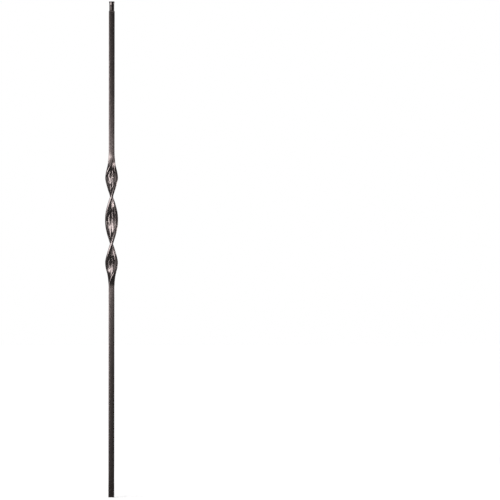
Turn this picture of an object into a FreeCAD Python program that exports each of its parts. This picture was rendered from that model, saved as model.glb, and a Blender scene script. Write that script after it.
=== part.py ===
import FreeCAD
import Part
import math
import os
from FreeCAD import Placement, Rotation, Vector

# A forged stair baluster: a square bar with a flat twisted ribbon set into it, both faces of the
# ribbon carved with raised petals, and a round dowel pin turned on the top end.
# Sizes are in millimetres. The origin is the middle of the foot, +Z is up and -Y is the front.

# bar and pin
overall_height = 1117.6      # foot to the tip of the pin
bar_side = 13.0
bar_corner = 1.2             # rounding of the bar's long edges
pin_length = 21.4
pin_neck_dia = 11.1
collar_dia = 12.4            # the flared collar at the tip of the pin
collar_height = 4.0
collar_bevel = 0.8
shoulder_drop = 3.0          # fall of the turned shoulder at the bar's corners
shoulder_land = 0.4          # flat ring left round the pin on the shoulder

# ribbon
ribbon_height = 624.0        # middle of the ribbon above the foot
ribbon_half = 157.0          # middle of the ribbon to either square end
ribbon_width = 29.3
ribbon_thick = 5.8           # bare thickness under the petals
edge_run = 1.6               # how far the bowed edge reaches in over the wide face
edge_flat = 1.6              # straight part left in the middle of the narrow edge
edge_bow = 0.65              # share of the half thickness where the edge turns over; 1 is a smooth turn
half_turn_rise = 106.6       # rise of the twist in half a turn, in the middle of the ribbon
twist_ease = 84.0            # length at each end over which the twist comes to rest
taper_end = 13.5             # the section has become the square of the bar this far before the end
taper_length = 53.5
taper_fall = 1.5             # power with which the taper dies out into the bar; 1 leaves a kink there

# petals, placed across the ribbon as shares of half its flat width so that they follow the taper
inner_column = 0.276
inner_half_share = 0.306
outer_column = 0.759
outer_half_share = 0.230
petal_crown = 0.75           # height of a petal in its middle
crown_fall = 1.5             # power with which that height falls off towards the tips
row_pitch = 32.7             # petal to petal along one column
row_gap = 5.9                # bare length between the tips of two petals in a column
row_shift = 1.7              # height of the middle row over the ribbon's middle
inner_reach = 37.0           # no petal of an inner column is centred nearer to the end than this
outer_reach = 55.0

# how finely the shapes are followed
station_count = 36
bevel_count = 4              # narrow bevels that round each long edge
petal_span_count = 4
seam_fit = 0.05              # widest gap that is closed where faces are sewn together
outline_fit = 0.01           # how closely a petal's outline is brought onto the face

ribbon_low = ribbon_height - ribbon_half
ribbon_top = ribbon_height + ribbon_half
shoulder_height = overall_height - pin_length
turn_rate = 180.0 / half_turn_rise
end_turn = 90.0 * round(turn_rate * ribbon_half / 90.0)
petal_half = (row_pitch - row_gap) / 2


def steps(first, last, count):
    return [first + (last - first) * i / count for i in range(count + 1)]


def progress(s, end, length):
    # 0 in the ribbon's middle, 1 from a given distance before its end
    start = ribbon_half - end - length
    return min(max((abs(s) - start) / length, 0.0), 1.0)


def blend(s, in_ribbon, in_bar):
    share = math.cos(math.pi / 2 * progress(s, taper_end, taper_length)) ** taper_fall
    return in_bar + (in_ribbon - in_bar) * share


def half_width(s):
    return blend(s, ribbon_width / 2, bar_side / 2)


def half_thick(s):
    return blend(s, ribbon_thick / 2, bar_side / 2)


def wide_flat(s):
    return half_width(s) - blend(s, edge_run, bar_corner)


def narrow_flat(s):
    return blend(s, edge_flat / 2, bar_side / 2 - bar_corner)


def turn(s):
    # an even twist that eases to a whole number of quarter turns, so the ends meet the bars squarely
    ease = progress(s, 0.0, twist_ease)
    even = turn_rate * min(abs(s), ribbon_half - twist_ease)
    hold = 2 * ease**3 - 3 * ease**2 + 1
    run = turn_rate * twist_ease * (ease**3 - 2 * ease**2 + ease)
    return math.copysign(even * hold + run + end_turn * (1 - hold), s)


def placement(s):
    return Placement(Vector(0, 0, ribbon_height + s), Rotation(Vector(0, 0, 1), turn(s)))


def bend(start, apex, end):
    curve = Part.BezierCurve()
    curve.setPoles([start, apex, end])
    return curve


def section(s):
    # corner points of the section, counter-clockwise, with each edge rounded off in narrow bevels
    w, t, f, g = half_width(s), half_thick(s), wide_flat(s), narrow_flat(s)
    over = t * blend(s, edge_bow, 1.0)
    right = bend(Vector(w, g, 0), Vector(w, over, 0), Vector(f, t, 0))
    left = bend(Vector(-f, t, 0), Vector(-w, over, 0), Vector(-w, g, 0))
    back = [edge.value(k) for edge in (right, left) for k in steps(0, 1, bevel_count)]
    points = back + [-q for q in back]
    return [placement(s).multVec(q) for q in points]


def closed(points):
    return Part.Face(Part.makePolygon(points + points[:1]))


def on_front(column, s, rise=0.0):
    # a point of the front face, raised by a given height
    return placement(s).multVec(Vector(column * wide_flat(s), -half_thick(s) - rise, 0))


def arch(column, half_share, s, swell):
    # one arched line across a petal, as wide and as high as the petal has swelled there
    reach = half_share * swell
    rise = petal_crown * swell**crown_fall * wide_flat(s) / wide_flat(0)
    apex = on_front(column, s, 2 * rise)
    return Part.Wire([bend(on_front(column - reach, s), apex, on_front(column + reach, s)).toShape()])


def petal(column, half_share, middle):
    # the outline is an ellipse, and the lines across it lie at even angles round it
    angles = [math.radians(a) for a in steps(-90, 90, petal_span_count)]
    lines = [arch(column, half_share, middle + petal_half * math.sin(a), math.cos(a)) for a in angles[1:-1]]
    tips = [Part.Vertex(on_front(column, middle + end)) for end in (-petal_half, petal_half)]
    return Part.makeLoft(tips[:1] + lines + tips[1:], False, False).Faces[0]


def petal_column(column, half_share, first, reach):
    limit = ribbon_half - reach
    rows = math.ceil(2 * ribbon_half / row_pitch)
    middles = [first + row_pitch * k for k in range(-rows, rows + 1)]
    return [petal(column, half_share, s) for s in middles if abs(s) <= limit]


def petals():
    # neighbouring columns are set half a row apart
    half_row = row_shift + row_pitch / 2
    caps = petal_column(-outer_column, outer_half_share, half_row, outer_reach)
    caps += petal_column(-inner_column, inner_half_share, row_shift, inner_reach)
    caps += petal_column(inner_column, inner_half_share, half_row, inner_reach)
    caps += petal_column(outer_column, outer_half_share, row_shift, outer_reach)
    return caps


def outline(face):
    edges = [e for e in face.Edges if not e.Degenerated]
    return Part.Wire(Part.__sortEdges__(edges))


def ribbon():
    # corner curves run along the ribbon, and straight-ruled faces join each one to the next
    stations = [ribbon_half * math.sin(math.pi / 2 * k) for k in steps(-1, 1, station_count)]
    rings = [section(s) for s in stations]
    rails = []
    for points in zip(*rings):
        curve = Part.BSplineCurve()
        curve.interpolate(Points=list(points), Parameters=stations)
        rails.append(curve.toShape())
    as_drawn = 1  # both curves keep the direction in which they were drawn
    sides = [Part.makeRuledSurface(rails[i - 1], rails[i], as_drawn) for i in range(len(rails))]
    # the two wide faces are opened under each petal, and the petal closes them again
    front = sides.pop(3 * bevel_count + 3)
    sides.pop(bevel_count + 1)
    caps = petals()
    ground = Part.Face(front.Faces[0].Surface, [outline(c) for c in caps])
    ground.fix(outline_fit, outline_fit, seam_fit)
    carved = [ground] + caps
    turned = [f.rotated(Vector(0, 0, 0), Vector(0, 0, 1), 180) for f in carved]
    skin = Part.Compound(sides + carved + turned + [closed(rings[0]), closed(rings[-1])])
    skin.sewShape(seam_fit)
    return Part.makeSolid(skin.Shells[0])


def bar(low, high):
    points = [Vector(q.x, q.y, low) for q in section(ribbon_half)]
    return closed(points).extrude(Vector(0, 0, high - low))


def spun(points):
    return closed(points).revolve(Vector(0, 0, 0), Vector(0, 0, 1), 360)


def shoulder():
    # the turned cone that takes the bar's corners off below the pin
    reach = bar_side / math.sqrt(2)
    land = pin_neck_dia / 2 + shoulder_land
    low = Vector(0, 0, ribbon_top)
    side = Vector(reach, 0, ribbon_top)
    rim = Vector(reach, 0, shoulder_height - shoulder_drop)
    top = Vector(land, 0, shoulder_height)
    axis = Vector(0, 0, shoulder_height)
    return spun([low, side, rim, top, axis])


def pin():
    neck = pin_neck_dia / 2
    rim = collar_dia / 2
    low = overall_height - collar_height
    base = Vector(0, 0, shoulder_height - shoulder_drop)
    root = Vector(neck, 0, base.z)
    throat = Vector(neck, 0, low)
    flare = Vector(rim, 0, low + collar_bevel)
    edge = Vector(rim, 0, overall_height - collar_bevel)
    tip = Vector(rim - collar_bevel, 0, overall_height)
    end = Vector(0, 0, overall_height)
    return spun([base, root, throat, flare, edge, tip, end])


upper = bar(ribbon_top, shoulder_height).common(shoulder()).fuse(pin())
baluster = ribbon().fuse([bar(0, ribbon_low), upper]).removeSplitter()
baluster = baluster.Solids[0]

os.makedirs("parts", exist_ok=True)
baluster.exportStep("parts/baluster.step")
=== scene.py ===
import bpy
import bmesh
import math
from mathutils import Matrix, Vector


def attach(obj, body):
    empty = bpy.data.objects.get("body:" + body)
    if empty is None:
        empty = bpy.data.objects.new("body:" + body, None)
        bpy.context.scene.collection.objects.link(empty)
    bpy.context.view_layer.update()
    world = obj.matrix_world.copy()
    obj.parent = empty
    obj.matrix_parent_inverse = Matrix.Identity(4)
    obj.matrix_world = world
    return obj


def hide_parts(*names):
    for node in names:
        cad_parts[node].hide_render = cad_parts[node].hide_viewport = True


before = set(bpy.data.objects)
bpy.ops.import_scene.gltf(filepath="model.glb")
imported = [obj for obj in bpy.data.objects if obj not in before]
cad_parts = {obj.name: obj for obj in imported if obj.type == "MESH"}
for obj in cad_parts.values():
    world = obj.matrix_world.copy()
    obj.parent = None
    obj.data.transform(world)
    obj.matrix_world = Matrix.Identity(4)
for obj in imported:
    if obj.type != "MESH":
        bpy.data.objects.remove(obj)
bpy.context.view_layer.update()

mm = 0.001  # one millimetre in metres

# sizes of the baluster in millimetres, brought to metres when a ring is placed
baluster = {
    "height": 1117.6, "side": 13.0, "corner": 1.2, "footBreak": 0.35, "barRows": 9,
    "middle": 624.0, "half": 157.0, "width": 29.3, "thick": 5.8,  # the ribbon
    "edgeRun": 1.6, "edgeFlat": 1.6, "edgeBow": 0.65,
    "halfTurnRise": 106.6, "twistEase": 84.0, "endTurn": 270.0,
    "taperEnd": 13.5, "taperLength": 53.5, "taperFall": 1.5,
    "edgeShares": [0.0, 0.07, 0.25, 0.5, 0.75], "sideSteps": 2,
    "polish": 0.6, "polishReach": 2.5,
}

pin = {
    "length": 21.4, "neck": 5.55, "rim": 6.2, "collar": 4.0, "round": 0.8,
    "drop": 3.0, "land": 0.4, "fillet": 0.45,
    "roundSteps": 6, "shoulderSteps": 8, "neckSteps": 4,
}

# petals lie across the ribbon by shares of half its flat width, from left to right
petals = {
    "columns": [-0.759, -0.276, 0.276, 0.759], "halfShares": [0.230, 0.306, 0.306, 0.230],
    "staggered": [True, False, True, False], "reaches": [55.0, 37.0, 37.0, 55.0],
    "pitch": 32.7, "gap": 5.9, "shift": 1.7, "crown": 0.75, "fall": 1.5, "fullness": 0.7,
    "groove": 0.10, "grooveShare": 0.25, "grooveFade": 0.3, "rimPower": 8,
    "least": 0.012, "steps": 8, "groundShares": [0.0, 0.2, 0.8],
    "cellRows": 12, "tipRows": [-0.1, 0.0, 0.08, 0.25, 0.55, 1.0, 1.7], "rowSpace": 0.05,
}
petalHalf = (petals["pitch"] - petals["gap"]) / 2


# 0 in the middle of the ribbon, 1 from a given distance before its end
def progress(s, end, length):
    start = baluster["half"] - end - length
    return min(max((abs(s) - start) / length, 0.0), 1.0)


# a size that changes from the ribbon's to the bar's along the taper
def blendTo(s, inRibbon, inBar):
    b = baluster
    share = math.cos(math.pi / 2 * progress(s, b["taperEnd"], b["taperLength"])) ** b["taperFall"]
    return inBar + (inRibbon - inBar) * share


# an even twist that comes to rest at the ends, square to the bars
def twistAt(s):
    b = baluster
    rate = 180.0 / b["halfTurnRise"]
    ease = progress(s, 0.0, b["twistEase"])
    even = rate * min(abs(s), b["half"] - b["twistEase"])
    hold = 2 * ease**3 - 3 * ease**2 + 1
    run = rate * b["twistEase"] * (ease**3 - 2 * ease**2 + ease)
    return math.radians(math.copysign(even * hold + run + b["endTurn"] * (1 - hold), s))


# how far one column's petal has swelled at a height: 1 in its middle, 0 at and beyond its tips
def petalSwell(column, s):
    first = petals["shift"] + (petals["pitch"] / 2 if petals["staggered"][column] else 0.0)
    nearest = first + petals["pitch"] * round((s - first) / petals["pitch"])
    if abs(nearest) > baluster["half"] - petals["reaches"][column]:
        return 0.0
    v = (s - nearest) / petalHalf
    return math.sqrt(max(0.0, 1.0 - v * v))


# the columns of half a ring: ground and petals in turn across the face, then round the narrow edge
def layHalfRing():
    count, steps, sideSteps = len(petals["columns"]), petals["steps"], baluster["sideSteps"]
    across = [-math.cos(math.pi * i / steps) for i in range(steps)]
    columns = []
    for strip in range(count):
        columns += [("ground", strip, share) for share in petals["groundShares"]]
        columns += [("petal", strip, share) for share in across]
    columns += [("ground", count, share) for share in petals["groundShares"]]
    columns += [("front", 0, share) for share in baluster["edgeShares"]]
    columns += [("side", 0, i / sideSteps) for i in range(sideSteps)]
    mirrored = [1 - share for share in reversed(baluster["edgeShares"][1:])]
    columns += [("back", 0, share) for share in [0.0] + mirrored]
    return columns


halfRing = layHalfRing()
ringCount = 2 * len(halfRing)


def bezier(a, apex, b, k):
    return a * (1 - k) ** 2 + apex * (2 * k * (1 - k)) + b * k**2


# half a ring in the section's own plane: each point with how far it stands out to be rubbed
def halfProfile(s):
    b = baluster
    w = blendTo(s, b["width"] / 2, b["side"] / 2)  # half the width
    t = blendTo(s, b["thick"] / 2, b["side"] / 2)  # half the thickness
    f = w - blendTo(s, b["edgeRun"], b["corner"])  # half the flat of the wide face
    g = blendTo(s, b["edgeFlat"] / 2, b["side"] / 2 - b["corner"])  # and of the narrow edge
    over = t * blendTo(s, b["edgeBow"], 1.0)
    crown = petals["crown"] * f / (b["width"] / 2 - b["edgeRun"])
    swells = [petalSwell(column, s) for column in range(len(petals["columns"]))]
    # the ground falls into a fine groove along the outline of each petal
    depths = [petals["groove"] * min(1.0, swell / petals["grooveFade"]) for swell in swells]
    grooves = [0.0] + depths + [0.0]
    cuts = [-f]
    for column, share, swell in zip(petals["columns"], petals["halfShares"], swells):
        reach = share * max(swell, petals["least"])
        cuts += [(column - reach) * f, (column + reach) * f]
    cuts.append(f)
    points = []
    for kind, strip, share in halfRing:
        if kind == "ground":
            left, right = cuts[2 * strip], cuts[2 * strip + 1]
            nearLeft = max(0.0, 1 - share / petals["grooveShare"])
            nearRight = max(0.0, 1 - (1 - share) / petals["grooveShare"])
            dip = grooves[strip] * nearLeft + grooves[strip + 1] * nearRight
            points.append((Vector((left + (right - left) * share, -t + dip, 0)), 0.0))
        elif kind == "petal":
            left, right = cuts[2 * strip + 1], cuts[2 * strip + 2]
            lift = swells[strip] ** petals["fall"] * (1 - share * share) ** petals["fullness"]
            y = -t + grooves[strip + 1] * share ** petals["rimPower"] - crown * lift
            points.append((Vector(((left + right) / 2 + (right - left) / 2 * share, y, 0)), lift))
        elif kind == "front":
            p = bezier(Vector((f, -t, 0)), Vector((w, -over, 0)), Vector((w, -g, 0)), share)
            points.append((p, 1 - abs(2 * share - 1)))
        elif kind == "side":
            points.append((Vector((w, -g + 2 * g * share, 0)), 0.0))
        else:
            p = bezier(Vector((w, g, 0)), Vector((w, over, 0)), Vector((f, t, 0)), share)
            points.append((p, 1 - abs(2 * share - 1)))
    return points


# the forged ribbon is polished all over, and most on its crowns and edges
def ringProfile(s):
    forged = min(1.0, blendTo(s, baluster["polishReach"], 0.0))
    polish = baluster["polish"]
    half = [(p, forged * (polish + (1 - polish) * rub)) for p, rub in halfProfile(s)]
    return half + [(-p, rub) for p, rub in half]


# stations along the ribbon, closer together round the tips of the petals
def ribbonStations():
    cell = petals["pitch"] / 2
    count = math.ceil(baluster["half"] / cell) + 1
    wanted = [-baluster["half"], baluster["half"]]
    for k in range(-count, count + 1):
        middle = petals["shift"] + k * cell
        wanted += [middle + cell * i / petals["cellRows"] for i in range(petals["cellRows"])]
        wanted += [middle + side * (petalHalf - d) for d in petals["tipRows"] for side in (-1, 1)]
    kept = []
    for s in sorted(s for s in wanted if abs(s) <= baluster["half"]):
        if not kept or s - kept[-1] > petals["rowSpace"]:
            kept.append(s)
    return kept


# height and radius up the pin: a small fillet, the neck, the flare and the rounded collar
def pinRows(shoulder, angles):
    tip, neck, rim = baluster["height"], pin["neck"], pin["rim"]
    r, fillet, steps = pin["round"], pin["fillet"], pin["neckSteps"]
    flare = tip - pin["collar"]
    rise = (rim - neck) / 2
    rows = []
    for a in angles[1:]:
        rows.append((shoulder + fillet * (1 - math.cos(a)), neck + fillet * (1 - math.sin(a))))
    rows += [(shoulder + (flare - shoulder) * i / steps, neck) for i in range(1, steps + 1)]
    rows += [(flare + r * a / math.pi * 2, neck + rise * (1 - math.cos(2 * a))) for a in angles[1:]]
    rows += [(tip - r + r * math.sin(a), rim - r + r * math.cos(a)) for a in angles]
    return rows


# rings from the foot up: height, station, and how the section is brought in there
def ringRows():
    b = baluster
    half, bars, foot = b["half"], b["barRows"], b["footBreak"]
    low, top = b["middle"] - half, b["middle"] + half
    shoulder = b["height"] - pin["length"]
    start = shoulder - pin["drop"]
    land = pin["neck"] + pin["land"]
    corner = b["side"] / math.sqrt(2)
    angles = [math.pi / 2 * i / pin["roundSteps"] for i in range(pin["roundSteps"] + 1)]
    rows = [(foot * (1 - math.cos(a)), -half, "inset", foot * (1 - math.sin(a))) for a in angles]
    rows += [(low * i / bars, -half, "whole", 0) for i in range(1, bars)]
    rows += [(b["middle"] + s, s, "whole", 0) for s in ribbonStations()]
    rows += [(top + (start - top) * i / bars, half, "whole", 0) for i in range(1, bars + 1)]
    for i in range(1, pin["shoulderSteps"] + 1):
        k = i / pin["shoulderSteps"]
        rows.append((start + pin["drop"] * k, half, "clipped", corner + (land - corner) * k))
    rows += [(z, half, "round", radius) for z, radius in pinRows(shoulder, angles)]
    return rows


def placeRing(verts, layers, row):
    z, s, fit, amount = row
    profile = ringProfile(s)
    turnBy = Matrix.Rotation(twistAt(s), 3, "Z")
    for v in verts:
        p, rub = profile[v[layers["place"]] % ringCount]
        if fit == "inset":
            p = p * (1 - amount / max(abs(p.x), abs(p.y)))
        elif fit == "clipped":
            p = p * min(1.0, amount / p.length)
        elif fit == "round":
            p = p * (amount / p.length)
        v.co = (turnBy @ p + Vector((0, 0, z))) * mm
        v[layers["rub"]] = rub


# the outline of every petal is a crisp crease, and so are the rims of the two end faces
def markCreases(bm):
    outlines = {}
    for i, (kind, strip, share) in enumerate(halfRing):
        if kind == "petal" and share == -1.0:
            outlines[i] = strip
        elif kind == "ground" and share == 0.0 and strip > 0:
            outlines[i] = strip - 1
    for e in bm.edges:
        a, b = e.verts
        column = a.index % len(halfRing)
        if (a.index - b.index) % ringCount == 0 and column in outlines:
            s = (a.co.z + b.co.z) / 2 / mm - baluster["middle"]
            if petalSwell(outlines[column], s) > petals["least"]:
                e.smooth = False
        if any(len(face.verts) > 4 for face in e.link_faces):
            e.smooth = False


# points, edges and faces stand in order from the foot up, so every run gives the same mesh
def sortMesh(bm, placeLayer):
    bm.verts.sort(key=lambda v: v[placeLayer])
    bm.verts.index_update()
    total = len(bm.verts)
    for parts in (bm.edges, bm.faces):
        parts.sort(key=lambda part: orderOf([v.index for v in part.verts], total))


def orderOf(numbers, total):
    return max(numbers) * total + min(numbers)


def toObject(bm, name):
    mesh = bpy.data.meshes.new(name)
    bm.to_mesh(mesh)
    bm.free()
    made = bpy.data.objects.new(name, mesh)
    bpy.context.scene.collection.objects.link(made)
    return made


# one ring is drawn out from the foot to the tip, row by row
def makeBaluster():
    bm = bmesh.new()
    layers = {"place": bm.verts.layers.int.new("place"), "rub": bm.verts.layers.float.new("rub")}
    rows = ringRows()
    radius = baluster["side"] * mm / 2
    first = bmesh.ops.create_circle(bm, segments=ringCount, radius=radius)["verts"]
    for i, v in enumerate(first):
        v[layers["place"]] = i
    rim = list(bm.edges)
    placeRing(first, layers, rows[0])
    bmesh.ops.contextual_create(bm, geom=rim)
    for row in rows[1:]:
        grown = bmesh.ops.extrude_edge_only(bm, edges=rim)["geom"]
        fresh = [g for g in grown if isinstance(g, bmesh.types.BMVert)]
        edges = [g for g in grown if isinstance(g, bmesh.types.BMEdge)]
        held = set(fresh)
        rim = [e for e in edges if all(v in held for v in e.verts)]
        for v in fresh:
            v[layers["place"]] += ringCount
        placeRing(fresh, layers, row)
    bmesh.ops.contextual_create(bm, geom=rim)
    bmesh.ops.recalc_face_normals(bm, faces=bm.faces)
    for face in bm.faces:
        face.smooth = True
    sortMesh(bm, layers["place"])
    markCreases(bm)
    return toObject(bm, "ironBaluster")


ironBaluster = makeBaluster()
shape = ironBaluster.data
print("stage 2: baluster", len(shape.vertices), "points,", len(shape.polygons), "faces")


def newMaterial(name):
    mat = bpy.data.materials.new(name)
    mat.use_nodes = True
    return mat, mat.node_tree, mat.node_tree.nodes["Principled BSDF"]


# a value brought from one span to another
def addSpan(tree, value, taken, given):
    span = tree.nodes.new("ShaderNodeMapRange")
    span.inputs["From Min"].default_value, span.inputs["From Max"].default_value = taken
    span.inputs["To Min"].default_value, span.inputs["To Max"].default_value = given
    tree.links.new(value, span.inputs["Value"])
    return span.outputs["Result"]


def addMath(tree, operation, a, b):
    joined = tree.nodes.new("ShaderNodeMath")
    joined.operation = operation
    tree.links.new(a, joined.inputs[0])
    tree.links.new(b, joined.inputs[1])
    return joined.outputs[0]


def addNoise(tree, place, scale, detail):
    noise = tree.nodes.new("ShaderNodeTexNoise")
    noise.inputs["Scale"].default_value = scale
    noise.inputs["Detail"].default_value = detail
    tree.links.new(place.outputs["Object"], noise.inputs["Vector"])
    return noise.outputs["Fac"]


coat = {
    "dark": (0.066, 0.054, 0.0515, 1), "warm": (0.150, 0.127, 0.124, 1), "metal": 0.88,
    "roughLow": 0.20, "roughHigh": 0.28, "edge": (0.45, 0.42, 0.41, 1),
    "mottle": 55.0, "mottleDetail": 4, "toneSpan": (0.3, 1.1), "glossSpan": (0.3, 0.7), "rub": 0.60,
    "grain": 1400.0, "grainDetail": 2, "grainDepth": 0.06, "grainHeight": 0.0002,
}


def makeCoat():
    mat, tree, shader = newMaterial("satinIronCoat")
    nodes, links = tree.nodes, tree.links
    place = nodes.new("ShaderNodeTexCoord")
    mottle = addNoise(tree, place, coat["mottle"], coat["mottleDetail"])
    grain = addNoise(tree, place, coat["grain"], coat["grainDetail"])
    # the ribbon is rubbed lighter and warmer than the bars
    rubbed = nodes.new("ShaderNodeAttribute")
    rubbed.attribute_name = "rub"
    wear = nodes.new("ShaderNodeMath")
    wear.operation = "MULTIPLY_ADD"
    wear.inputs[1].default_value = coat["rub"]
    links.new(rubbed.outputs["Fac"], wear.inputs[0])
    links.new(mottle, wear.inputs[2])
    colour = nodes.new("ShaderNodeMix")
    colour.data_type = "RGBA"
    colour.inputs["A"].default_value = coat["dark"]
    colour.inputs["B"].default_value = coat["warm"]
    links.new(addSpan(tree, wear.outputs[0], coat["toneSpan"], (0, 1)), colour.inputs["Factor"])
    links.new(colour.outputs["Result"], shader.inputs["Base Color"])
    rough = addSpan(tree, mottle, coat["glossSpan"], (coat["roughHigh"], coat["roughLow"]))
    links.new(rough, shader.inputs["Roughness"])
    bump = nodes.new("ShaderNodeBump")
    bump.inputs["Strength"].default_value = coat["grainDepth"]
    bump.inputs["Distance"].default_value = coat["grainHeight"]
    links.new(grain, bump.inputs["Height"])
    links.new(bump.outputs["Normal"], shader.inputs["Normal"])
    shader.inputs["Metallic"].default_value = coat["metal"]
    shader.inputs["Specular Tint"].default_value = coat["edge"]  # less gloss at a glancing view
    return mat


ironBaluster.data.materials.append(makeCoat())
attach(ironBaluster, "root")
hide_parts("baluster")
print("stage 3: coat")

studio = {
    "floorSize": 40.0, "floorSides": 64, "floorColour": (0.82, 0.82, 0.82, 1),
    "floorRough": 0.9, "floorGloss": 0.1, "white": (1, 1, 1, 1), "roomLight": 0.22,
    "floorGlow": 0.80, "footGlow": 0.38, "footReach": 1.2, "lampDip": 0.05,
    "flagReach": 2.6, "flagSteps": 24, "flagSides": 48, "flagShade": (0.045, 0.045, 0.045, 1),
    "flagFoot": 0.001, "flagTop": 3.2,
}


# 1 for the rays that should see a white background, through gloss and glass too
def whiteForCamera(tree):
    seen = tree.nodes.new("ShaderNodeLightPath").outputs
    direct = addMath(tree, "MAXIMUM", seen["Is Camera Ray"], seen["Is Glossy Ray"])
    return addMath(tree, "MAXIMUM", direct, seen["Is Transmission Ray"])


# the floor's glow is weaker round the foot, where the lamps reach, so the shadow there still shows
def makeFloor():
    bm = bmesh.new()
    bmesh.ops.create_circle(bm, cap_ends=True, segments=studio["floorSides"],
                            radius=studio["floorSize"] / 2)
    floor = toObject(bm, "studioFloor")
    mat, tree, shader = newMaterial("paleFloor")
    shader.inputs["Base Color"].default_value = studio["floorColour"]
    shader.inputs["Roughness"].default_value = studio["floorRough"]
    shader.inputs["Specular IOR Level"].default_value = studio["floorGloss"]
    shader.inputs["Emission Color"].default_value = studio["white"]
    place = tree.nodes.new("ShaderNodeTexCoord")
    spread = tree.nodes.new("ShaderNodeVectorMath")
    spread.operation = "SCALE"
    spread.inputs["Scale"].default_value = 1 / studio["footReach"]
    tree.links.new(place.outputs["Object"], spread.inputs[0])
    near = tree.nodes.new("ShaderNodeTexGradient")
    near.gradient_type = "SPHERICAL"
    tree.links.new(spread.outputs["Vector"], near.inputs["Vector"])
    level = addSpan(tree, near.outputs["Fac"], (0, 1), (studio["floorGlow"], studio["footGlow"]))
    glow = addMath(tree, "MULTIPLY", whiteForCamera(tree), level)
    tree.links.new(glow, shader.inputs["Emission Strength"])
    floor.data.materials.append(mat)


def makeRoom():
    world = bpy.data.worlds.new("studioRoom")
    bpy.context.scene.world = world
    world.use_nodes = True
    tree = world.node_tree
    shade = tree.nodes["Background"]
    shade.inputs["Color"].default_value = studio["white"]
    level = addSpan(tree, whiteForCamera(tree), (0, 1), (studio["roomLight"], 1))
    tree.links.new(level, shade.inputs["Strength"])


# dark cloths that the gloss sees between the lamps: from and to, in degrees to the right of the
# front, and their lower and upper edges
flags = [
    ("frontFlag", -12, 100, studio["flagFoot"], studio["flagTop"]),
    ("leftFlag", -154, -71, studio["flagFoot"], studio["flagTop"]),
    ("backLowFlag", 128, 206, studio["flagFoot"], 0.43),
    ("backHighFlag", 128, 206, 0.90, studio["flagTop"]),
]


def makeFlag(name, start, end, low, high):
    bm = bmesh.new()
    foot = bm.verts.new((0, -studio["flagReach"], low))
    head = bm.verts.new((0, -studio["flagReach"], high))
    post = bm.edges.new((foot, head))
    bmesh.ops.rotate(bm, verts=[foot, head], matrix=Matrix.Rotation(math.radians(start), 3, "Z"))
    bmesh.ops.spin(bm, geom=[post, foot, head], axis=(0, 0, 1), cent=(0, 0, 0),
                   angle=math.radians(end - start), steps=studio["flagSteps"])
    hangFlag(bm, name)


# one dark cloth lies on the floor all round, so the bar doesn't mirror the white floor
def makeFloorFlag():
    bm = bmesh.new()
    bmesh.ops.create_circle(bm, cap_ends=True, segments=studio["flagSides"], radius=studio["flagReach"])
    bmesh.ops.translate(bm, verts=bm.verts, vec=(0, 0, studio["flagFoot"]))
    hangFlag(bm, "floorFlag")


# only reflections see a cloth
def hangFlag(bm, name):
    flag = toObject(bm, name)
    mat, tree, shader = newMaterial(name + "Cloth")
    shader.inputs["Base Color"].default_value = studio["flagShade"]
    shader.inputs["Roughness"].default_value = 1.0
    shader.inputs["Specular IOR Level"].default_value = 0.0
    flag.data.materials.append(mat)
    flag.visible_camera = False
    flag.visible_diffuse = False
    flag.visible_transmission = False
    flag.visible_shadow = False


# degrees to the right of the front, distance, height, width and height, watts
lamps = [
    ("keyLeft", -42, 1.3, 0.60, (1.36, 0.90), 30),
    ("frontGlow", -4, 1.1, 0.64, (0.32, 0.15), 2.0),
    ("rimRight", 112, 1.8, 0.68, (0.80, 0.50), 15),
]


def makeLamp(name, degrees, away, high, size, watts):
    data = bpy.data.lights.new(name, "AREA")
    data.shape = "RECTANGLE"
    data.size, data.size_y = size
    data.energy = watts
    lamp = bpy.data.objects.new(name, data)
    lamp.location = Matrix.Rotation(math.radians(degrees), 3, "Z") @ Vector((0, -away, high))
    aim = Vector((0, 0, high - studio["lampDip"])) - lamp.location
    lamp.rotation_euler = aim.to_track_quat("-Z", "Y").to_euler()
    lamp.visible_camera = False
    bpy.context.scene.collection.objects.link(lamp)


makeFloor()
makeRoom()
for flag in flags:
    makeFlag(*flag)
makeFloorFlag()
for lamp in lamps:
    makeLamp(*lamp)
print("stage 4: studio")

# where the axis and the tip stand in the picture, in pixels, and how far the picture leans, in degrees
view = {
    "lens": 400.0, "sensor": 36.0, "clipEnd": 100.0, "picture": 500, "mmPerPixel": 2.2538,
    "axisAt": 111.55, "tipAt": 1.59, "lean": -0.055,
}


def makeCamera():
    data = bpy.data.cameras.new("mainCamera")
    data.lens = view["lens"]
    data.sensor_width = view["sensor"]
    data.clip_end = view["clipEnd"]
    camera = bpy.data.objects.new("mainCamera", data)
    scale = view["mmPerPixel"] * mm
    middle = view["picture"] / 2
    away = scale * view["picture"] * view["lens"] / view["sensor"]
    high = baluster["height"] * mm - (middle - view["tipAt"]) * scale
    camera.location = ((middle - view["axisAt"]) * scale, -away, high)
    camera.rotation_euler = (math.pi / 2, math.radians(view["lean"]), 0)
    bpy.context.scene.collection.objects.link(camera)
    bpy.context.scene.camera = camera


makeCamera()
bpy.context.scene.view_settings.view_transform = "Standard"
print("stage 5: camera and sizes")
